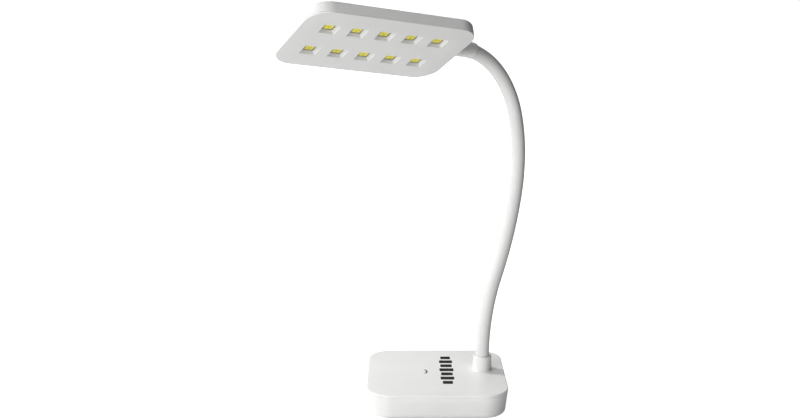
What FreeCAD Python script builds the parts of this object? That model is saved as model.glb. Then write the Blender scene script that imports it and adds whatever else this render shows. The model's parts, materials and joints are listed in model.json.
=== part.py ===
"""UV curing lamp on a gooseneck: a square weighted base, a flexible neck and a flat head with ten LEDs.

Frame: millimetres, +Z up, front of the lamp towards -Y, origin at the middle of the underside of the
rubber pad. The neck is a steel coil in a soft sleeve. It is built as eight stiff lengths that meet in
small spherical joints, so that it can bend at seven places and turn at both ends.
"""
import FreeCAD, Part
import math
import os
import Sketcher
from FreeCAD import Placement, Rotation, Vector

doc = FreeCAD.newDocument("gooseneck_uv_lamp")
sheet = doc.addObject("Spreadsheet::Sheet", "sheet")

SIZES = [
    # base
    ("base_side", 80, "side of the square top of the base"),
    ("base_height", 15.2, "from the surface to the top of the lid"),
    ("base_corner", 14.6, "corner radius of the base, seen from above"),
    ("base_draft", 7, "degrees that the side walls lean in towards the bottom"),
    ("base_rounding", 3, "rounding between the side walls and the underside"),
    ("lid_band", 1.6, "thickness of the lid, seen as a band under its top face"),
    ("seat_inset", 3.5, "hollow of the tray, in from the edge of the lid"),
    ("rim_height", 2, "locating rim under the lid"),
    ("rim_wall", 1.2, "thickness of the locating rim"),
    ("wall", 2, "plastic wall of the tray"),
    ("fit_gap", 0.15, "gap around the lid's rim"),
    ("pad_drop", 0.6, "height of the rubber pad below the tray"),
    ("pad_recess", 0.5, "depth of the rubber pad in the tray"),
    ("pad_side", 66, "side of the rubber pad"),
    ("pad_corner", 9, "corner radius of the rubber pad"),
    ("corner_offset", 27, "lid screws, from the middle in X and in Y"),
    ("boss_across", 6.6, "diameter of a screw boss"),
    ("boss_split", 5, "top of the tray's screw bosses, above the surface"),
    ("boss_gap", 0.2, "between the lid's bosses and the tray's"),
    ("lid_screw_core", 2.4, "diameter of a lid screw"),
    ("lid_screw_head", 4.6, "head diameter of a lid screw"),
    ("lid_screw_head_thick", 1.4, "head thickness of a lid screw"),
    ("lid_screw_reach", 6, "length of a lid screw under its head"),
    ("seat_roof", 0.5, "plastic between the pad's recess and a screw's head"),
    ("head_clearance", 0.1, "gap around a screw's head"),
    ("thread_bite", 0.05, "gap around a screw's thread"),
    ("weight_wide", 44, "steel weight, side to side"),
    ("weight_deep", 38, "steel weight, front to back"),
    ("weight_thick", 7, "steel weight, thickness"),
    ("weight_forward", 15, "middle of the weight in front of the middle of the base"),
    ("board_wide", 15, "control board, side to side"),
    ("board_deep", 25, "control board, front to back"),
    ("board_thick", 1.2, "control board, thickness"),
    ("board_lift", 2.4, "underside of the control board above the tray's floor"),
    ("board_edge", 4.2, "back edge of the control board, in from the edge of the lid"),
    ("post_across", 3.6, "post under the control board"),
    ("post_first", 14, "first board screw, in front of the board's back edge"),
    ("post_second", 22, "second board screw"),
    ("board_screw_core", 1.6, "diameter of a board screw"),
    ("board_screw_head", 3.4, "head diameter of a board screw"),
    ("board_screw_head_thick", 1, "head thickness of a board screw"),
    ("board_screw_reach", 3.4, "length of a board screw under its head"),
    ("socket_left", 15, "USB socket, left of the middle"),
    ("socket_wide", 8.94, "USB-C shell, width"),
    ("socket_high", 3.26, "USB-C shell, height"),
    ("socket_deep", 7.35, "USB-C shell, depth"),
    ("socket_wall", 0.3, "USB-C shell, sheet thickness"),
    ("socket_round", 1.25, "USB-C shell, corner radius"),
    ("socket_inset", 1.3, "mouth of the USB socket, in from the edge of the lid"),
    ("tongue_wide", 6.7, "tongue of the USB socket, width"),
    ("tongue_thick", 0.7, "tongue of the USB socket, thickness"),
    ("port_gap", 0.25, "gap around the USB shell in the tray's wall"),
    ("touch_pad_across", 12, "touch electrode under the lid, diameter"),
    ("touch_pad_thick", 0.3, "touch electrode, thickness"),
    ("touch_forward", 6, "touch electrode in front of the middle"),
    # neck
    ("neck_left", 5, "neck axis left of the middle of the base"),
    ("neck_back", 27.2, "neck axis behind the middle of the base"),
    ("neck_yaw", 28.4, "degrees that the neck's plane is turned from straight ahead"),
    ("neck_across", 8, "outside diameter of the sleeve"),
    ("sleeve_bore", 5.2, "bore of the sleeve"),
    ("coil_across", 5.1, "outside diameter of the steel coil"),
    ("coil_bore", 3.1, "bore of the steel coil"),
    ("lead_across", 2.2, "two-core lead in the neck, diameter"),
    ("neck_step", 24.06, "length of one stiff length of neck"),
    ("turn_1", -9.6, "degrees that length 1 of the neck bends forward"),
    ("turn_2", -10.9, "length 2"),
    ("turn_3", 5.3, "length 3"),
    ("turn_4", 5.7, "length 4"),
    ("turn_5", 10.1, "length 5"),
    ("turn_6", 12.4, "length 6"),
    ("turn_7", 23.2, "length 7"),
    ("turn_8", 31.3, "length 8"),
    ("ball_radius", 3.9, "round end of a length of neck"),
    ("cup_radius", 3.98, "hollow that the round end turns in"),
    ("ball_shoulder", 1.45, "shoulder behind the round end, below the pivot"),
    ("cup_rim", 1.2, "rim of the hollow, above the pivot"),
    ("inner_gap", 4.2, "coil and lead start this far above a pivot"),
    ("collar_height", 8.5, "collar on the base"),
    ("collar_across", 10.7, "collar on the base, diameter at its top"),
    ("collar_flare", 0.5, "how much wider the collar is at its foot"),
    ("collar_bore", 8.16, "bore around the sleeve, in both collars"),
    ("collar_floor", 1, "floor of the base collar"),
    ("ferrule_across", 6, "threaded end fitting of the neck"),
    ("ferrule_bore", 3.2, "way through the end fittings for the lead"),
    ("ferrule_low", 9, "lower end of the fitting above the surface"),
    ("lead_bend", 2.5, "bend of the lead under the neck"),
    ("tail", 6.5, "straight tail of the neck in the base collar"),
    ("head_tail", 3, "straight tail of the neck in the head's collar"),
    ("washer_across", 14, "washer under the lid"),
    ("washer_thick", 1, "thickness of the washer"),
    ("nut_flats", 10, "lock nut, across flats"),
    ("nut_thick", 3, "lock nut, thickness"),
    # head
    ("inner_end", 0.2, "coil and lead stop this far below a pivot"),
    ("elbow_turn", 14.5, "degrees that the head's collar bends"),
    ("elbow_length", 6, "curved part of the head's collar"),
    ("collar_straight", 7, "straight part of the head's collar"),
    ("head_collar_across", 9.2, "diameter of the head's collar"),
    ("tongue_across", 5, "tube of the head's collar inside the head"),
    ("tongue_reach", 6.5, "how far that tube goes into the head"),
    ("saddle_reach", 12, "hump on the head that covers the tube"),
    ("head_roll", 29.7, "degrees that the head is turned about the neck's end"),
    ("head_length", 98.5, "head, along the neck's end"),
    ("head_width", 58.5, "head, across"),
    ("head_corner", 12.3, "corner radius of the head"),
    ("head_thick", 6.9, "thickness of the head"),
    ("head_rounding", 1.2, "rounding of the head's top edge"),
    ("head_wall", 1.6, "side wall of the head"),
    ("head_roof", 1.2, "top wall of the head"),
    ("face_band", 0.9, "edge of the face plate seen at the side"),
    ("face_step", 0.15, "face plate is this much smaller all round"),
    ("neck_axis_high", 5.8, "axis of the neck above the head's underside"),
    ("led_columns", 5, "LEDs along the head"),
    ("led_pitch_long", 16, "LED spacing along the head"),
    ("led_pitch_cross", 23.7, "LED spacing across the head"),
    ("led_offset", -0.7, "LED field, off the middle towards the free end"),
    ("led_side", 5, "side of an LED package"),
    ("led_high", 1.6, "height of an LED package"),
    ("led_cup_across", 4.2, "round cup in an LED package, diameter"),
    ("led_cup_depth", 0.12, "depth of the cup"),
    ("well_mouth", 9.2, "side of a well at the underside"),
    ("well_floor", 6, "side of a well at its floor"),
    ("well_depth", 1.7, "depth of a well"),
    ("led_board_thick", 1, "aluminium LED board"),
    ("led_board_margin", 3.2, "LED board is this much smaller than the head"),
]
for row, (alias, value, meaning) in enumerate(SIZES, start=1):
    sheet.set(f"A{row}", meaning)
    sheet.set(f"B{row}", str(value))
    sheet.setAlias(f"B{row}", alias)
doc.recompute()

nodes = {}


def size(alias):
    return float(sheet.get(alias))


def keep(label, obj, place=None):
    """Names a finished sub-part, which is written to a file of that name."""
    obj.Label = label
    if place is not None:
        obj.Placement = place
    nodes[label] = obj
    return obj


def bind(obj, **sizes):
    """Sets properties: text is an expression on the sheet, a number is a plain value."""
    for name, value in sizes.items():
        if isinstance(value, str):
            obj.setExpression(name, value)
        else:
            setattr(obj, name, value)
    return obj


# Part primitives and booleans ------------------------------------------------------------------------


def cylinder(name, radius, height, at=(0, 0, 0), turn=Rotation()):
    obj = doc.addObject("Part::Cylinder", name)
    obj.Placement = Placement(Vector(*at), turn)
    return bind(obj, Radius=radius, Height=height)


def cone(name, low_radius, high_radius, height, at=(0, 0, 0)):
    obj = doc.addObject("Part::Cone", name)
    obj.Placement = Placement(Vector(*at), Rotation())
    return bind(obj, Radius1=low_radius, Radius2=high_radius, Height=height)


def block(name, wide, deep, high, middle):
    """A box whose lower face is centred on middle."""
    obj = doc.addObject("Part::Box", name)
    bind(obj, Length=wide, Width=deep, Height=high)
    doc.recompute()
    corner = Vector(-obj.Length.Value / 2, -obj.Width.Value / 2, 0)
    obj.Placement = Placement(Vector(*middle) + corner, Rotation())
    return obj


def sphere(name, radius):
    return bind(doc.addObject("Part::Sphere", name), Radius=radius)


def fuse(name, shapes):
    obj = doc.addObject("Part::MultiFuse", name)
    obj.Shapes = shapes
    obj.Refine = True
    return obj


def cut(name, base, tools):
    obj = doc.addObject("Part::Cut", name)
    obj.Base = base
    obj.Tool = tools[0] if len(tools) == 1 else fuse(name + "_tools", tools)
    obj.Refine = True
    return obj


def group(name, shapes):
    """Identical fasteners as separate solids in one sub-part."""
    obj = doc.addObject("Part::Compound", name)
    obj.Links = shapes
    return obj


# PartDesign bodies and their sketches ------------------------------------------------------------------


def new_body(name):
    return doc.addObject("PartDesign::Body", name)


def sketch_in(body, name, lift="0 mm"):
    """A sketch on the body's XY plane, lifted along +Z."""
    sketch = body.newObject("Sketcher::SketchObject", name)
    plane = next(f for f in body.Origin.OriginFeatures if f.Role == "XY_Plane")
    sketch.AttachmentSupport = [(plane, "")]
    sketch.MapMode = "FlatFace"
    sketch.setExpression("AttachmentOffset.Base.z", lift)
    return sketch


def constrain(sketch, key, expression, *arguments):
    index = sketch.addConstraint(Sketcher.Constraint(*arguments))
    sketch.renameConstraint(index, key)
    sketch.setExpression("Constraints." + key, expression)


def draw_circle(sketch, key, radius, away=None):
    """A circle about the sketch's origin, or away from it along the sketch's X."""
    start = 0.0 if away is None else 50.0
    index = sketch.addGeometry(Part.Circle(Vector(start, 0, 0), Vector(0, 0, 1), 3.0), False)
    if away is None:
        sketch.addConstraint(Sketcher.Constraint("Coincident", index, 3, -1, 1))
    else:
        sketch.addConstraint(Sketcher.Constraint("PointOnObject", index, 3, -1))
        constrain(sketch, key + "_away", away, "DistanceX", -1, 1, index, 3, start)
    constrain(sketch, key + "_radius", radius, "Radius", index, 3.0)


def draw_rounded_rectangle(sketch, key, wide, deep, corner):
    """Four lines and four quarter arcs about the origin, held by their width, depth and radius."""
    doc.recompute()
    half_x, half_y, r = 30.0, 20.0, 5.0
    line, arc = Part.LineSegment, Part.ArcOfCircle
    corners = [(half_x, -half_y, -90), (half_x, half_y, 0), (-half_x, half_y, 90), (-half_x, -half_y, 180)]
    ends = [
        ((-half_x + r, -half_y), (half_x - r, -half_y)),
        ((half_x, -half_y + r), (half_x, half_y - r)),
        ((half_x - r, half_y), (-half_x + r, half_y)),
        ((-half_x, half_y - r), (-half_x, -half_y + r)),
    ]
    index = []
    for (start, end), (x, y, angle) in zip(ends, corners):
        index.append(sketch.addGeometry(line(Vector(*start, 0), Vector(*end, 0)), False))
        middle = Vector(x - math.copysign(r, x), y - math.copysign(r, y), 0)
        circle = Part.Circle(middle, Vector(0, 0, 1), r)
        start_angle = math.radians(angle)
        index.append(sketch.addGeometry(arc(circle, start_angle, start_angle + math.pi / 2), False))
    add = sketch.addConstraint
    for k in range(4):
        straight, bend, after = index[2 * k], index[2 * k + 1], index[(2 * k + 2) % 8]
        add(Sketcher.Constraint("Tangent", straight, 2, bend, 1))
        add(Sketcher.Constraint("Tangent", bend, 2, after, 1))
    for k in (0, 4):
        add(Sketcher.Constraint("Horizontal", index[k]))
        add(Sketcher.Constraint("Vertical", index[k + 2]))
    add(Sketcher.Constraint("Symmetric", index[0], 1, index[4], 1, -1, 1))
    for k in (3, 5, 7):
        add(Sketcher.Constraint("Equal", index[1], index[k]))
    constrain(sketch, key + "_wide", wide, "DistanceX", index[6], 1, index[2], 1, 2 * half_x)
    constrain(sketch, key + "_deep", deep, "DistanceY", index[0], 1, index[4], 1, 2 * half_y)
    constrain(sketch, key + "_corner", corner, "Radius", index[1], r)


def pad(body, name, sketch, length, down=False, taper=None):
    feature = body.newObject("PartDesign::Pad", name)
    feature.Profile = sketch
    feature.setExpression("Length", length)
    feature.Reversed = down
    if taper is not None:
        feature.setExpression("TaperAngle", taper)
    doc.recompute()
    return feature


def pocket(body, name, sketch, length, down=True):
    """Cuts down from the sketch, or up when down is False."""
    before = body.Shape.Volume
    feature = body.newObject("PartDesign::Pocket", name)
    feature.Profile = sketch
    feature.setExpression("Length", length)
    feature.Reversed = not down
    doc.recompute()
    assert body.Shape.Volume < before - 1e-3, f"{name} cuts nothing"
    return feature


def end_face(shape, lowest):
    """The name of the lowest or highest flat face that looks straight down or up."""
    found = []
    for number, face in enumerate(shape.Faces, start=1):
        flat = isinstance(face.Surface, Part.Plane)
        if flat and abs(face.normalAt(0, 0).z) > 0.999:
            found.append((face.CenterOfMass.z, f"Face{number}"))
    return min(found)[1] if lowest else max(found)[1]


def round_edge(body, name, radius, lowest):
    base = body.Tip
    feature = body.newObject("PartDesign::Fillet", name)
    feature.Base = (base, [end_face(base.Shape, lowest)])
    feature.setExpression("Radius", radius)
    doc.recompute()
    return feature


# Levels and places that several sub-parts share ------------------------------------------------------

TRAY_TOP = "sheet.base_height - sheet.lid_band"
tray_top = size("base_height") - size("lid_band")
floor_top = size("pad_drop") + size("wall")
head_seat = size("pad_drop") + size("pad_recess") + size("seat_roof")
corner = size("corner_offset")
corners = [(-corner, -corner), (corner, -corner), (-corner, corner), (corner, corner)]
board_low = floor_top + size("board_lift")
board_top = board_low + size("board_thick")
board_back = size("base_side") / 2 - size("board_edge")
socket_x = -size("socket_left")
neck_x, neck_y = -size("neck_left"), size("neck_back")
board_posts = [(socket_x, board_back - size("post_first")), (socket_x, board_back - size("post_second"))]
drill_past = 1.0


# Base --------------------------------------------------------------------------------------------------


def make_lid():
    body = new_body("lid_body")
    top = sketch_in(body, "lid_outline", "sheet.base_height")
    draw_rounded_rectangle(top, "o", "sheet.base_side", "sheet.base_side", "sheet.base_corner")
    pad(body, "lid_plate", top, "sheet.lid_band", down=True, taper="-sheet.base_draft")
    rim = sketch_in(body, "lid_rim_outline", TRAY_TOP)
    inner = "sheet.base_side - 2 * (sheet.seat_inset + sheet.fit_gap)"
    rim_corner = "sheet.base_corner - sheet.seat_inset"
    draw_rounded_rectangle(rim, "a", inner, inner, rim_corner)
    thinner = inner + " - 2 * sheet.rim_wall"
    draw_rounded_rectangle(rim, "b", thinner, thinner, rim_corner + " - sheet.rim_wall")
    pad(body, "lid_rim", rim, "sheet.rim_height", down=True)
    boss_low = size("boss_split") + size("boss_gap")
    boss_high = f"{TRAY_TOP} - sheet.boss_split - sheet.boss_gap"
    thread = "sheet.lid_screw_core / 2 + sheet.thread_bite"
    bosses = [
        cylinder(f"lid_boss_{k}", "sheet.boss_across / 2", boss_high, (x, y, boss_low))
        for k, (x, y) in enumerate(corners)
    ]
    holes = [
        cylinder(f"lid_pilot_{k}", thread, "sheet.lid_screw_reach", (x, y, boss_low - drill_past))
        for k, (x, y) in enumerate(corners)
    ]
    hole_at = (neck_x, neck_y, tray_top - drill_past)
    neck_hole = cylinder("lid_neck_hole", "sheet.ferrule_across / 2 + 0.1", 5, hole_at)
    solid = fuse("lid_solid", [body] + bosses)
    keep("base_lid", cut("base_lid", solid, holes + [neck_hole]))


def make_tray():
    body = new_body("tray_body")
    top = sketch_in(body, "tray_outline", TRAY_TOP)
    narrower = "sheet.base_side - 2 * sheet.lid_band * tan(sheet.base_draft * 1 deg)"
    draw_rounded_rectangle(
        top, "o", narrower, narrower, "sheet.base_corner - sheet.lid_band * tan(sheet.base_draft * 1 deg)"
    )
    pad(body, "tray_block", top, TRAY_TOP + " - sheet.pad_drop", down=True, taper="-sheet.base_draft")
    round_edge(body, "tray_rounding", "sheet.base_rounding", lowest=True)
    hollow = sketch_in(body, "tray_hollow_outline", TRAY_TOP)
    inner = "sheet.base_side - 2 * sheet.seat_inset"
    draw_rounded_rectangle(hollow, "i", inner, inner, "sheet.base_corner - sheet.seat_inset")
    pocket(body, "tray_hollow", hollow, TRAY_TOP + " - sheet.pad_drop - sheet.wall")
    seat = sketch_in(body, "pad_seat_outline", "sheet.pad_drop")
    seat_side = "sheet.pad_side + 0.3"
    draw_rounded_rectangle(seat, "s", seat_side, seat_side, "sheet.pad_corner + 0.15")
    pocket(body, "pad_seat", seat, "sheet.pad_recess", down=False)
    root = floor_top - 0.5
    low = size("pad_drop")
    boss_high = size("boss_split") - root
    post_high = board_low - root
    head_round = "sheet.lid_screw_head / 2 + sheet.head_clearance"
    head_deep = head_seat + size("lid_screw_head_thick") + size("head_clearance") - low
    shank_round = "sheet.lid_screw_core / 2 + 2 * sheet.head_clearance"
    added, removed = [], []
    for k, (x, y) in enumerate(corners):
        added.append(cylinder(f"tray_boss_{k}", "sheet.boss_across / 2", boss_high, (x, y, root)))
        removed.append(cylinder(f"screw_seat_{k}", head_round, head_deep, (x, y, low)))
        removed.append(cylinder(f"screw_way_{k}", shank_round, size("boss_split"), (x, y, low)))
    thread = "sheet.board_screw_core / 2 + sheet.thread_bite"
    for k, (x, y) in enumerate(board_posts):
        added.append(cylinder(f"board_post_{k}", "sheet.post_across / 2", post_high, (x, y, root)))
        removed.append(cylinder(f"post_pilot_{k}", thread, 4, (x, y, floor_top - 0.2)))
    around = " + 2 * sheet.port_gap"
    port_at = (socket_x, size("base_side") / 2 - 3, board_top - size("port_gap"))
    port = block("tray_port", "sheet.socket_wide" + around, 10, "sheet.socket_high" + around, port_at)
    keep("base_tray", cut("base_tray", fuse("tray_solid", [body] + added), removed + [port]))


def make_pad():
    body = new_body("pad_body")
    outline = sketch_in(body, "pad_outline")
    draw_rounded_rectangle(outline, "p", "sheet.pad_side", "sheet.pad_side", "sheet.pad_corner")
    pad(body, "pad_sheet", outline, "sheet.pad_drop + sheet.pad_recess")
    keep("rubber_pad", body)


def make_weight():
    body = new_body("weight_body")
    outline = sketch_in(body, "weight_outline")
    draw_rounded_rectangle(outline, "w", "sheet.weight_wide", "sheet.weight_deep", "3")
    pad(body, "weight_plate", outline, "sheet.weight_thick")
    keep("steel_weight", body, Placement(Vector(0, -size("weight_forward"), floor_top), Rotation()))


def make_control_board():
    middle = (socket_x, board_back - size("board_deep") / 2, board_low)
    plate = block("board_plate", "sheet.board_wide", "sheet.board_deep", "sheet.board_thick", middle)
    holes = [
        cylinder(f"board_hole_{k}", "sheet.board_screw_core / 2 + 0.3", 5, (x, y, board_low - drill_past))
        for k, (x, y) in enumerate(board_posts)
    ]
    keep("control_board", cut("control_board", plate, holes))

    reach = size("board_screw_reach")
    screws = []
    for k, (x, y) in enumerate(board_posts):
        head_round, head_thick = "sheet.board_screw_head / 2", "sheet.board_screw_head_thick"
        head = cylinder(f"board_screw_head_{k}", head_round, head_thick, (x, y, board_top))
        shank_at = (x, y, board_top - reach)
        shank = cylinder(f"board_screw_shank_{k}", "sheet.board_screw_core / 2", reach, shank_at)
        screws.append(fuse(f"board_screw_{k}", [head, shank]))
    keep("board_screws", group("board_screws", screws))


def make_usb_socket():
    deep, wall = size("socket_deep"), size("socket_wall")
    socket_y = size("base_side") / 2 - size("socket_inset") - deep / 2
    at = (socket_x, socket_y, board_top)
    shell = block("socket_shell", "sheet.socket_wide", "sheet.socket_deep", "sheet.socket_high", at)
    inside = block(
        "socket_inside",
        "sheet.socket_wide - 2 * sheet.socket_wall",
        "sheet.socket_deep",
        "sheet.socket_high - 2 * sheet.socket_wall",
        (socket_x, socket_y + 1, board_top + wall),
    )
    tongue_at = (socket_x, socket_y - 0.5, board_top + (size("socket_high") - size("tongue_thick")) / 2)
    tongue = block("socket_tongue", "sheet.tongue_wide", deep - 1.5, "sheet.tongue_thick", tongue_at)
    outer_round = size("socket_round")
    rounded = []
    for name, source, radius in (
        ("socket_outer_round", shell, outer_round), ("socket_inner_round", inside, outer_round - wall),
    ):
        doc.recompute()
        obj = doc.addObject("Part::Fillet", name)
        obj.Base = source
        edges = enumerate(source.Shape.Edges, start=1)
        along = [n for n, edge in edges if abs(edge.tangentAt(edge.FirstParameter).y) > 0.99]
        obj.Edges = [(n, radius, radius) for n in along]
        rounded.append(obj)
    keep("usb_c_socket", fuse("usb_c_socket", [cut("socket_can", rounded[0], [rounded[1]]), tongue]))


def make_touch_electrode():
    at = (0, -size("touch_forward"), tray_top - size("touch_pad_thick"))
    keep("touch_electrode", cylinder("electrode", "sheet.touch_pad_across / 2", "sheet.touch_pad_thick", at))


def make_lid_screws():
    shank_low = head_seat + size("lid_screw_head_thick")
    screws = []
    for k, (x, y) in enumerate(corners):
        head_round, head_thick = "sheet.lid_screw_head / 2", "sheet.lid_screw_head_thick"
        head = cylinder(f"lid_screw_head_{k}", head_round, head_thick, (x, y, head_seat))
        shank_round, reach = "sheet.lid_screw_core / 2", "sheet.lid_screw_reach"
        shank = cylinder(f"lid_screw_shank_{k}", shank_round, reach, (x, y, shank_low))
        screws.append(fuse(f"lid_screw_{k}", [head, shank]))
    keep("lid_screws", group("lid_screws", screws))


def make_neck_mounting():
    """Collar above the lid, and the fitting, washer and nut that hold the neck to it."""
    top = size("base_height")
    high = size("collar_height")
    collar = cone(
        "collar_wall", "sheet.collar_across / 2 + sheet.collar_flare / 2", "sheet.collar_across / 2",
        "sheet.collar_height", (neck_x, neck_y, top),
    )
    doc.recompute()
    rounded = doc.addObject("Part::Fillet", "collar_round")
    rounded.Base = collar
    upper = max(range(len(collar.Shape.Edges)), key=lambda e: collar.Shape.Edges[e].CenterOfMass.z)
    rounded.Edges = [(upper + 1, 0.5, 0.5)]
    bore = cylinder("collar_bore_tool", "sheet.collar_bore / 2", high, (neck_x, neck_y, top + size("collar_floor")))
    way = cylinder("collar_way", "sheet.ferrule_across / 2 + 0.05", high, (neck_x, neck_y, top - drill_past))
    keep("base_collar", cut("base_collar", rounded, [bore, way]))

    low = size("ferrule_low")
    reach = top + size("collar_floor") - low
    tube = cylinder("ferrule_tube", "sheet.ferrule_across / 2", reach, (neck_x, neck_y, low))
    lead_way = cylinder("ferrule_way", "sheet.ferrule_bore / 2", reach + 2, (neck_x, neck_y, low - 1))
    keep("neck_fitting", cut("neck_fitting", tube, [lead_way]))

    washer_low = tray_top - size("washer_thick")
    washer = cylinder("washer_disc", "sheet.washer_across / 2", "sheet.washer_thick", (neck_x, neck_y, washer_low))
    hole = cylinder("washer_hole", "sheet.ferrule_across / 2 + 0.15", 3, (neck_x, neck_y, washer_low - 1))
    keep("neck_washer", cut("neck_washer", washer, [hole]))

    nut_low = washer_low - size("nut_thick")
    hexagon = doc.addObject("Part::Prism", "nut_hexagon")
    bind(hexagon, Polygon=6, Circumradius="sheet.nut_flats / 2 / cos(30 deg)", Height="sheet.nut_thick")
    hexagon.Placement = Placement(Vector(neck_x, neck_y, nut_low), Rotation())
    hole = cylinder("nut_hole", "sheet.ferrule_across / 2 + 0.02", 5, (neck_x, neck_y, nut_low - 1))
    keep("neck_nut", cut("neck_nut", hexagon, [hole]))


# Neck --------------------------------------------------------------------------------------------------


def neck_frames():
    """Placement at the foot of each length of neck, at its end, and at the two ends of the head's collar.

    Local +Z runs along the neck and local +X is the side that a forward bend turns towards."""
    place = Placement(
        Vector(neck_x, neck_y, size("base_height") + size("collar_height")),
        Rotation(Vector(0, 0, 1), size("neck_yaw") - 90),
    )
    frames = [place]
    lengths = [(size("neck_step"), size(f"turn_{k}")) for k in range(1, 9)]
    lengths.append((size("elbow_length"), size("elbow_turn")))
    for length, turn in lengths:
        angle = math.radians(turn)
        radius = length / angle
        along = Vector(radius * (1 - math.cos(angle)), 0, radius * math.sin(angle))
        place = place.multiply(Placement(along, Rotation(Vector(0, 1, 0), turn)))
        frames.append(place)
    frames.append(place.multiply(Placement(Vector(0, 0, size("collar_straight")), Rotation())))
    return frames


def bent_tube(name, length, turn, outer, bore=None):
    """A round tube or rod along an arc that starts at the origin along +Z and bends towards +X."""
    body = new_body(name)
    bend_radius = f"({length}) / abs({turn}) * 180 / pi"
    sketch = sketch_in(body, name + "_ring")
    draw_circle(sketch, "outer", outer, away=bend_radius)
    if bore is not None:
        draw_circle(sketch, "bore", bore, away=bend_radius)
    feature = body.newObject("PartDesign::Revolution", name + "_sweep")
    feature.Profile = sketch
    feature.ReferenceAxis = (sketch, ["V_Axis"])
    feature.setExpression("Angle", f"abs({turn})")
    feature.Reversed = True
    doc.recompute()
    sheet_turn = size(turn.replace("sheet.", ""))
    radius = size(length.replace("sheet.", "")) / math.radians(abs(sheet_turn))
    side = math.copysign(1, sheet_turn)
    body.Placement = Placement(Vector(side * radius, 0, 0), Rotation(Vector(0, 0, 1), 180 if side > 0 else 0))
    return body


def arc_frame(number):
    """The end of a length of neck in that length's own frame."""
    return frames[number - 1].inverse().multiply(frames[number])


def with_tail(number, what, tube, outer, bore):
    """Adds the straight tail that sits in a collar to the first and the last length."""
    if number not in (1, 8):
        return tube
    length = "sheet.tail" if number == 1 else "sheet.head_tail"
    at = Placement(Vector(0, 0, -size("tail")), Rotation()) if number == 1 else arc_frame(number)
    tail = cylinder(f"{what}_tail_{number}", outer, length)
    if bore is not None:
        tail = cut(f"{what}_tail_ring_{number}", tail, [cylinder(f"{what}_tail_bore_{number}", bore, length)])
    tail.Placement = at
    return fuse(f"{what}_with_tail_{number}", [tube, tail])


def make_neck_length(number):
    """Sleeve, coil and lead of one length. Its foot is a hollow that turns on the round end below."""
    first, last = number == 1, number == 8
    turn, step = f"sheet.turn_{number}", "sheet.neck_step"
    here, end = frames[number - 1], arc_frame(number)
    label = f"{number:02d}"
    over_all = size("neck_across") - 1

    outside, bore = "sheet.neck_across / 2", "sheet.sleeve_bore / 2"
    sleeve = bent_tube(f"sleeve_tube_{label}", step, turn, outside, bore)
    sleeve = with_tail(number, "sleeve", sleeve, outside, bore)
    tools = []
    if not first:
        rim = cylinder(f"rim_{label}", over_all, "sheet.cup_rim + 2", (0, 0, -2))
        tools += [sphere(f"cup_{label}", "sheet.cup_radius"), rim]
    if not last:
        shoulder = cylinder(f"shoulder_{label}", over_all, "sheet.ball_shoulder + 1")
        shoulder.Placement = end.multiply(Placement(Vector(0, 0, -size("ball_shoulder")), Rotation()))
        ball = sphere(f"ball_{label}", "sheet.ball_radius")
        ball.Placement = end
        tools.append(cut(f"nose_{label}", shoulder, [ball]))
    keep(f"neck_sleeve_{label}", cut(f"sleeve_{label}", sleeve, tools), here)

    for what, outer, bore in (
        ("coil", "sheet.coil_across / 2", "sheet.coil_bore / 2"),
        ("lead", "sheet.lead_across / 2", None),
    ):
        tube = bent_tube(f"{what}_tube_{label}", step, turn, outer, bore)
        tube = with_tail(number, what, tube, outer, bore)
        ends = []
        if not first:
            ends.append(cylinder(f"{what}_foot_{label}", over_all, "sheet.inner_gap + 2", (0, 0, -2)))
        if not last:
            top = cylinder(f"{what}_top_{label}", over_all, 2)
            top.Placement = end.multiply(Placement(Vector(0, 0, -size("inner_end")), Rotation()))
            ends.append(top)
        keep(f"neck_{what}_{label}", cut(f"{what}_{label}", tube, ends), here)


# Head --------------------------------------------------------------------------------------------------


def led_places():
    """Middles of the LEDs on the head, row by row from the near side."""
    columns = int(size("led_columns"))
    half = (columns - 1) / 2
    along = [size("led_offset") + (k - half) * size("led_pitch_long") for k in range(columns)]
    across = [-size("led_pitch_cross") / 2, size("led_pitch_cross") / 2]
    return [(x, y) for y in across for x in along]


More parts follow.
